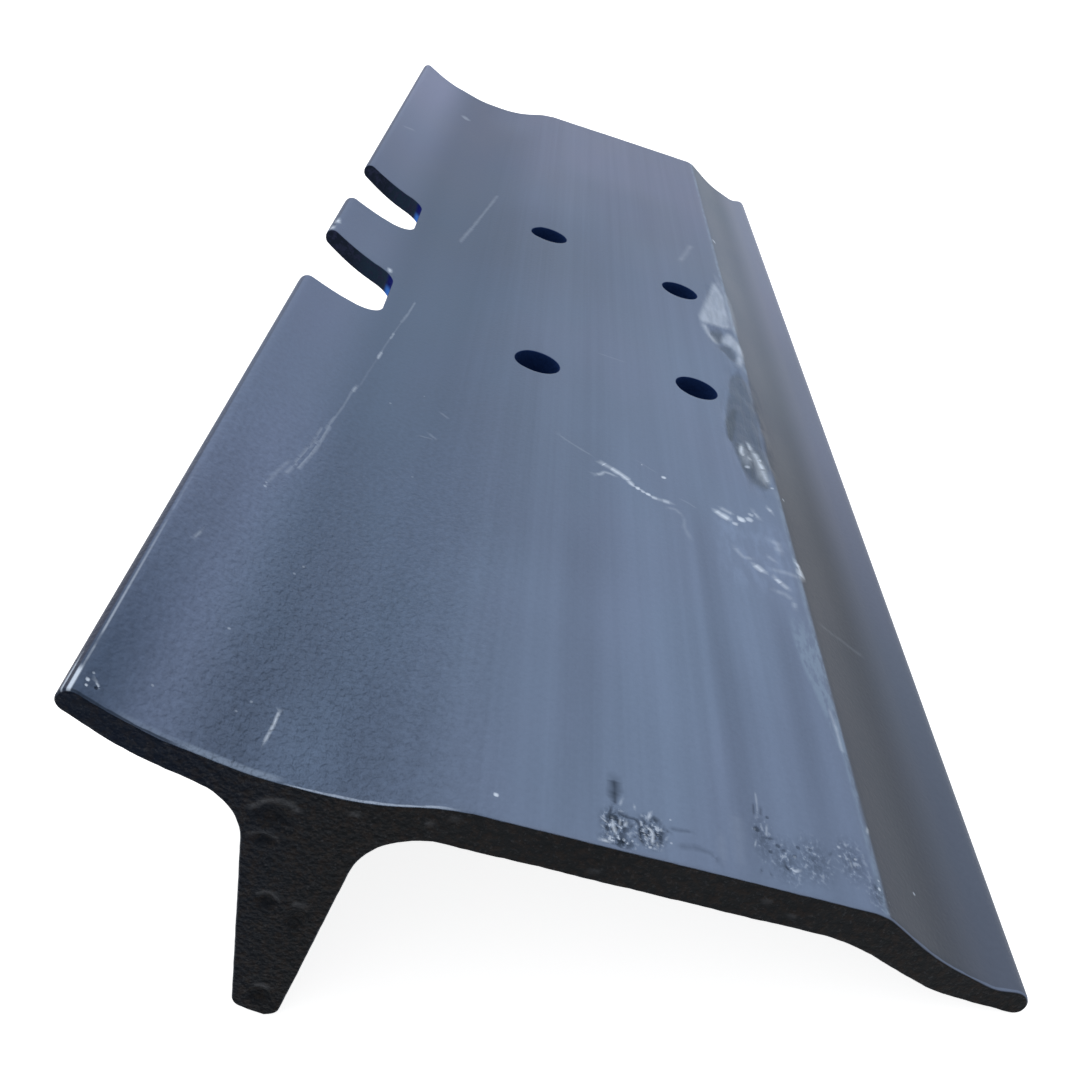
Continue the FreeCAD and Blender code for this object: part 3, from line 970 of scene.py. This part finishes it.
per_millimetre = 1 / millimetre
place = nodes.add("ShaderNodeMapping", {"vector_type": "POINT"}, {
    "Vector": nodes.add("ShaderNodeTexCoord", output="Object"),
    "Scale": (per_millimetre, per_millimetre, per_millimetre),
    "Rotation": (-rest_tilt, 0, 0),
    "Location": (0, -across_zero * per_millimetre, -up_zero * per_millimetre),
})
along = nodes.add("ShaderNodeSeparateXYZ", sockets={0: place})
across = along.output("Y")


def reading(nodes, name):
    """The value of one of the skin's readings, in a material."""
    return nodes.add("ShaderNodeAttribute", {"attribute_name": name}, output="Fac")


def stretched(nodes, place, size, shift):
    """A place measured in patches of a size, and moved to another part of a random pattern."""
    return nodes.add("ShaderNodeVectorMath", {"operation": "MULTIPLY_ADD"}, {
        0: place, 1: tuple(1 / side for side in size), 2: (shift, shift, shift)})


def cloud(nodes, place, size, shift=0.0, detail=2.0, roughness=0.5):
    """Soft random values round 0.5, with patches of a (along, across, up) size in millimetres."""
    return nodes.add("ShaderNodeTexNoise", sockets={
        "Vector": stretched(nodes, place, size, shift), "Scale": 1.0, "Detail": detail,
        "Roughness": roughness})


def mixed(nodes, factor, first, second):
    """One colour or another, by a factor from 0 to 1."""
    return nodes.add("ShaderNodeMix", {"data_type": "RGBA"}, {0: factor, 6: first, 7: second}, 2)


def tinted(nodes, share, colour, tint):
    """A colour multiplied by a tint, as far as a share from 0 to 1."""
    return nodes.add("ShaderNodeMix", {"data_type": "RGBA", "blend_type": "MULTIPLY"},
                     {0: share, 6: colour, 7: tint}, 2)


def scaled(nodes, colour, factor):
    """A colour made lighter or darker by a factor."""
    return nodes.add("ShaderNodeVectorMath", {"operation": "SCALE"}, {0: colour, "Scale": factor})


past_curl = reading(nodes, "past_curl") * per_millimetre
bare = reading(nodes, "bare")
pitted = reading(nodes, "pitted")
dented = reading(nodes, "dented")
crushed = reading(nodes, "crushed")
scaly = reading(nodes, "scaly")
end_cut = reading(nodes, "end_cut")
notch_cut = reading(nodes, "notch_cut")
hole_cut = reading(nodes, "hole_cut")
top_length = (outline_around[lip_tip] - outline_around[curl_tip]) * per_millimetre
on_top = past_curl.rise(-2.5, -0.5) * (1 - past_curl.rise(top_length + 0.5, top_length + 2.5))
# The distance round the section jumps at the grouser's tip, where it starts, so the top's paint is
# kept off the grouser's lower half.
on_top = on_top * along.output("Z").rise(-60, -50)

# Colour of the coat, from the curled edge over the plate to the lip. On the curl and the lip it
# carries painted shade, darkest at the near end and at the lip's fold, and a painted sheen that
# lightens them towards the far end.
curl_share = across.rise(8, 44)
lip_share = 1 - across.rise(-129.8, -127.0)
coat = mixed(nodes, along.rise(40, 280), paint_blue, far_blue)
curl_coat_with_shade_and_sheen = mixed(nodes, along.rise(60, 300), curl_blue_near_shade, curl_blue_far_sheen)
coat = mixed(nodes, curl_share, coat, curl_coat_with_shade_and_sheen)
fold_coat_with_shade_and_sheen = mixed(nodes, along.rise(-165, 130), lip_fold_grey_in_shade, lip_fold_grey_far_sheen)
lip_coat_with_shade_and_sheen = mixed(nodes, along.rise(-330, 250), lip_grey_near_shade, lip_grey_far_sheen)
lip_coat_with_shade_and_sheen = mixed(nodes, across.rise(-167, -146), lip_coat_with_shade_and_sheen, fold_coat_with_shade_and_sheen)
coat = mixed(nodes, lip_share, coat, lip_coat_with_shade_and_sheen)

# Rolling leaves faint bands and streaks along the bar, and the spray leaves soft clouds. The coat
# is darkened with painted shade in the hollow beside the curl, and at the curl's near corner.
streaks = cloud(nodes, place, (420, 5, 40), 3.0, 3.0)
fine_streaks = cloud(nodes, place, (160, 1.3, 20), 7.0, 2.0)
mottle = cloud(nodes, place, (70, 45, 60), 11.0, 3.0)
grain = cloud(nodes, place, (1.7, 1.5, 1.6), 17.0, 2.0)
plate_share = (1 - across.rise(-25, 10)) * (1 - lip_share)
hollow = across.rise(-48, -4) * (1 - across.rise(18, 40))
near_corner = across.rise(32, 50) * (1 - along.rise(-300, -215))
near_trough = across.rise(-45, -10) * (1 - along.rise(-230, -60))
streak_weight, fine_streak_weight, mottle_weight = 0.22, 0.08, 0.18
grain_weight, trough_grain_weight = 0.12, 0.40
tone = 1 + (streaks - 0.5) * streak_weight * plate_share
tone = tone + (fine_streaks - 0.5) * fine_streak_weight * plate_share + (mottle - 0.5) * mottle_weight
tone = tone + (grain - 0.5) * (grain_weight + trough_grain_weight * near_trough)
# Painted shade deepens in the hollow towards the near end; the far half is made a little darker.
tone = tone - hollow * (1 - along.rise(-300, -240)) * 0.14 - along.rise(-60, 60) * 0.12
scuffs = cloud(nodes, place, (10, 3, 5), 19.0, 3.0)
tone = tone + along.near(-168, 20, 8) * across.near(-114, 13, 5) * scuffs.rise(0.40, 0.66) * 0.16
# Each band is (middle across, half width, first along, last along, how much lighter).
band_fade = 22
near_bands = [(-96.5, 3.4, -305, -150, -0.13), (-91.5, 1.6, -280, -165, 0.10),
              (-117.5, 3.2, -262, -185, -0.10), (-56.0, 4.6, -300, -190, -0.09),
              (-70.0, 3.0, -300, -120, 0.05), (-106.0, 3.0, -300, -200, 0.05),
              (-36.0, 5.0, -280, -60, -0.05), (-79.0, 6.0, -305, -150, 0.10),
              (-104.0, 7.0, -235, -140, 0.11), (-116.0, 4.5, -305, -245, -0.10),
              (-44.0, 30.0, -205, 110, -0.12), (-10.0, 12.0, 255, 310, 0.12),
              (6.0, 8.0, -310, -282, 0.24), (14.0, 9.0, -270, -150, -0.09),
              (44.0, 6.0, -250, -195, -0.10), (24.0, 16.0, -310, -270, -0.06),
              (-119.0, 5.0, -200, -140, 0.10), (-75.0, 34.0, 110, 190, -0.07)]
for middle, half_width, first, last, change in near_bands:
    band = across.near(middle, half_width, half_width * 0.8)
    tone = tone + band * along.near((first + last) / 2, (last - first) / 2, band_fade) * change
coat = scaled(nodes, coat, tone)
# Painted shade in the hollow and at the curl's near corner.
coat = tinted(nodes, hollow, coat, hollow_shade)
coat = tinted(nodes, near_corner, coat, corner_shade)
coat = tinted(nodes, cloud(nodes, place, (80, 34, 50), 83.0, 2.0).rise(0.36, 0.64), coat, teal_tint)

# The fold is rubbed lighter in flakes, and it keeps a thin pale line to the far end.
flakes = cloud(nodes, place, (7, 2.2, 3), 23.0, 3.0, 0.65)
from_fold = across + 127.2 - along.rise(-264, -208) * 6.7
fold_band = (1 - from_fold.rise(-0.9, 0.9)) * across.rise(-129.2, -128.2) * along.near(-229, 29, 7)
rubbed = fold_band * (flakes.rise(0.38, 0.56) * 0.75 + 0.1)
fold_line = across.near(-127.8, 0.9, 0.6) * (flakes.rise(0.36, 0.62) * 0.60 + 0.12)
fold_line = fold_line * (1 - crushed.rise(0.05, 0.35))
coat = mixed(nodes, rubbed.largest(fold_line) * on_top, coat, rubbed_blue)

# Crushed steel is dull where the paint is pressed thin, and its dents are darkened with painted shade.
crush_grain = cloud(nodes, place, (14, 2.2, 4), 31.0, 3.0, 0.65)
dent_colour_and_shade = crushed.rise(0.45, 0.95) * (crush_grain.rise(0.34, 0.60) * 0.5 + 0.6)
coat = mixed(nodes, dent_colour_and_shade * 0.8, coat, crushed_grey)
coat = scaled(nodes, coat, 1 - dent_colour_and_shade * 0.34 + crushed * (crush_grain - 0.5) * 1.3)

# Scale and spatter: dark pits with pale tips.
spatter = cloud(nodes, place, (1.5, 1.2, 1.3), 41.0, 2.0, 0.6)
coat = mixed(nodes, scaly * (0.90 - spatter.rise(0.40, 0.56) * 0.62), coat, dark_scale)
coat = mixed(nodes, pitted * 0.95, coat, dark_scale)
spatter_tips = scaly * spatter.rise(0.57, 0.67)

# The curled edge's rounded face is darkened with painted shade, strongest at the near end, and its
# worn corner is brightest at the near end.
tip_shade_near_end = 1 - along.rise(-305, -130)
tip_noise = cloud(nodes, place, (16, 6, 6), 53.0, 3.0, 0.6)
tip_shade_face = past_curl.rise(-3.4, -2.4) * (1 - past_curl.rise(3.9, 4.5))
coat = mixed(nodes, tip_shade_face * (0.45 + 0.55 * tip_shade_near_end), coat, tip_painted_shade)
near_tip = 1 - along.rise(-299, -296)
thick_line = past_curl.near(4.7, 0.45, 0.2) * near_tip
thin_line = past_curl.near(5.0, 0.25, 0.2) * (1 - along.rise(-300, -205)) * tip_noise.rise(0.34, 0.54)
inner_line = past_curl.near(3.0, 0.25, 0.2) * (1 - along.rise(-300, -290))
not_cut = 1 - end_cut.largest(notch_cut)

# The eased edge of the near end is worn pale in places and carries a painted highlight along its
# rim, and the underside is darker.
end_edge = end_cut.near(0.3, 0.2, 0.1) * (1 - along.rise(0, 10))
pale_highlit_stretch = across.rise(-32, -24) * (1 - across.rise(4, 8))
coat = mixed(nodes, end_edge * pale_highlit_stretch * 0.9, coat, edge_pale_wear_and_highlight)
blue_stretch = across.near(18, 10, 2) + across.near(35, 7, 2) * 0.4
blue_highlit_edge = end_cut.near(0.2, 0.3, 0.15) * (1 - along.rise(-303.6, -302.6)) * blue_stretch
coat = mixed(nodes, blue_highlit_edge * 0.9, coat, edge_blue_wear_and_highlight)
grey_highlit_edge = end_edge * (1 - across.rise(-44, -34))
coat = mixed(nodes, grey_highlit_edge * 0.7, coat, edge_grey_wear_and_highlight)
corner_edge = end_edge * across.rise(29, 32)
coat = mixed(nodes, corner_edge * 0.8, coat, dark_scale)
coat = mixed(nodes, on_top, under_blue, coat)

flecks = cloud(nodes, place, (12, 3.0, 5.0), 37.0, 2.0, 0.5)
bareness_and_glints = bare * (1 - crushed.rise(0.02, 0.2) * (1 - flecks.rise(0.26, 0.74)) * 0.35)
worn_lines = (thick_line * 0.95).largest(thin_line * 0.45).largest(inner_line * 0.75) * not_cut
bareness_and_glints = bareness_and_glints.largest(spatter_tips * 0.62).largest(worn_lines)
# Bare steel, and the few painted highlights listed with the scratches.
coat = mixed(nodes, bareness_and_glints, coat, bare_steel_and_glints)

# Cut faces: dark cut steel, made near black with painted shade.
rust = cloud(nodes, place, (2.4, 2.4, 2.4), 61.0, 3.0, 0.7)
end_face_and_shade = mixed(nodes, across.rise(-15, 40), cut_black_and_shade, cut_blue_black_and_shade)
end_face_and_shade = mixed(nodes, rust.rise(0.44, 0.64) * (0.8 - across.rise(-15, 40) * 0.5), end_face_and_shade, cut_rust)
specks = cloud(nodes, place, (0.9, 0.9, 0.9), 67.0, 2.0, 0.6)
end_face_and_shade = mixed(nodes, specks.rise(0.58, 0.72) * 0.22, end_face_and_shade, cut_scraped)
end_face_and_shade = mixed(nodes, bare * 0.8, scaled(nodes, end_face_and_shade, 1 - dented * 0.3), cut_scraped)
notch_blue = mixed(nodes, along.output("Z").rise(-8.5, -6.0), notch_low_blue, notch_high_blue)
notch_wall_and_shade = mixed(nodes, across.rise(34, 44), notch_navy_and_shade, notch_dark_and_shade)
notch_wall_and_shade = mixed(nodes, rust.rise(0.46, 0.62), notch_wall_and_shade, notch_violet)
notch_wall_and_shade = mixed(nodes, 1 - across.rise(25.4, 27.2), notch_wall_and_shade, notch_blue)
coat = mixed(nodes, end_cut.rise(0.45, 0.75), coat, end_face_and_shade)
coat = mixed(nodes, notch_cut.rise(0.3, 0.7), coat, notch_wall_and_shade)
coat = mixed(nodes, hole_cut.rise(0.1, 0.5), coat, hole_navy_and_shade)
links = paint.node_tree.links
links.new(coat.socket, surface.inputs["Base Color"])

cut = end_cut.largest(notch_cut).largest(hole_cut).rise(0.3, 0.7)
dullness = 0.50 + (mottle - 0.5) * 0.25 + (grain - 0.5) * 0.15 - bareness_and_glints * 0.12 + cut * 0.15
links.new(dullness.socket, surface.inputs["Roughness"])
links.new(((1 - cut) * coat_weight).socket, surface.inputs["Coat Weight"])

# Height of the surface's finest relief, in millimetres: the pebbled steel of the trough, scale,
# crushed steel and cut faces.
peel_zone = across.rise(-45, -5) * (1 - across.rise(18, 44) * 0.7) * (1 - along.rise(-270, -130)) + 0.10
peel = cloud(nodes, place, (1.4, 1.2, 1.3), 71.0, 1.0, 0.5)
coarse_peel = cloud(nodes, place, (6, 4, 5), 73.0, 1.0)
peel_height, coarse_peel_height = 1.1, 0.4
scale_height, crush_height, cut_height, pit_height = 0.6, 1.2, 0.5, 0.3
height = peel * peel_zone * peel_height + coarse_peel * peel_zone * coarse_peel_height
height = height + scaly * spatter * scale_height + crushed * crush_grain * crush_height
height = height + cut * rust * cut_height - pitted * pit_height
bump = nodes.add("ShaderNodeBump", sockets={
    "Strength": 1.0, "Distance": millimetre, "Height": height}, output="Normal")
links.new(bump.socket, surface.inputs["Normal"])

# Relief that is large enough to change the skin's shape, always inwards: the waves that the rolls
# leave, the tears of a cut face, crushed steel, scale, and the depth of each scratch.

relief = bpy.data.node_groups.new("rolled_and_worn_relief", "GeometryNodeTree")
relief.is_modifier = True
nodes = Nodes(relief)
relief.interface.new_socket("Shoe", in_out="INPUT", socket_type="NodeSocketGeometry")
relief.interface.new_socket("Worn shoe", in_out="OUTPUT", socket_type="NodeSocketGeometry")
relief_sizes = {
    "Roll waves": 0.00022,
    "Cut tears": 0.00050,
    "Crush depth": 0.0024,
    "Scale depth": 0.0007,
    "Scratch depth": 0.00012,
    "Pit depth": 0.00030,
    "Dent depth": 0.00080,
}
relief_inputs = {}
for name, size in relief_sizes.items():
    item = relief.interface.new_socket(name, in_out="INPUT", socket_type="NodeSocketFloat")
    item.subtype = "DISTANCE"
    item.default_value = size
    relief_inputs[name] = item.identifier
finish_input = relief.interface.new_socket("Finish", in_out="INPUT", socket_type="NodeSocketMaterial")
group_in = relief.nodes.new("NodeGroupInput")
group_out = relief.nodes.new("NodeGroupOutput")


def given(name):
    return Value(nodes, group_in.outputs[name])


def stored(name):
    """The value of one of the skin's readings, in Geometry Nodes."""
    return nodes.add("GeometryNodeInputNamedAttribute", {"data_type": "FLOAT"}, {"Name": name})


place = nodes.add("ShaderNodeVectorMath", {"operation": "SCALE"},
                  {0: nodes.add("GeometryNodeInputPosition"), "Scale": per_millimetre})
crumple = nodes.add("ShaderNodeTexVoronoi", {"feature": "F1"}, {
    "Vector": stretched(nodes, place, (18, 6, 6), 0.0), "Scale": 1.0, "Randomness": 1.0})
depth = cloud(nodes, place, (150, 26, 60), 5.0, 2.0) * given("Roll waves") * (1 - stored("end_cut"))
depth = depth + cloud(nodes, place, (7, 7, 7), 13.0, 3.0) * given("Cut tears") * stored("end_cut")
depth = depth + stored("crushed") * crumple * given("Crush depth")
depth = depth + cloud(nodes, place, (2.2, 2.2, 2.2), 29.0, 1.0) * given("Scale depth") * stored("scaly")
depth = depth + stored("bare") * given("Scratch depth") + stored("pitted") * given("Pit depth")
depth = depth + stored("dented") * given("Dent depth")
inwards = nodes.add("ShaderNodeVectorMath", {"operation": "SCALE"},
                    {0: nodes.add("GeometryNodeInputNormal"), "Scale": depth * -1})
moved = nodes.add("GeometryNodeSetPosition", sockets={"Geometry": given("Shoe"), "Offset": inwards})
real = nodes.add("GeometryNodeRealizeInstances", sockets={"Geometry": moved})
finished = nodes.add("GeometryNodeSetMaterial", sockets={"Geometry": real, "Material": given("Finish")})
relief.links.new(finished.socket, group_out.inputs[0])

wear = worn_shoe.modifiers.new("relief", "NODES")
wear.node_group = relief
for name, size in relief_sizes.items():
    wear[relief_inputs[name]] = size
wear[finish_input.identifier] = paint
worn_mesh = bpy.data.meshes.new_from_object(
    worn_shoe.evaluated_get(bpy.context.evaluated_depsgraph_get()))
worn_shoe.modifiers.clear()
worn_shoe.data = worn_mesh

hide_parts("track_shoe")
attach(worn_shoe, "root")
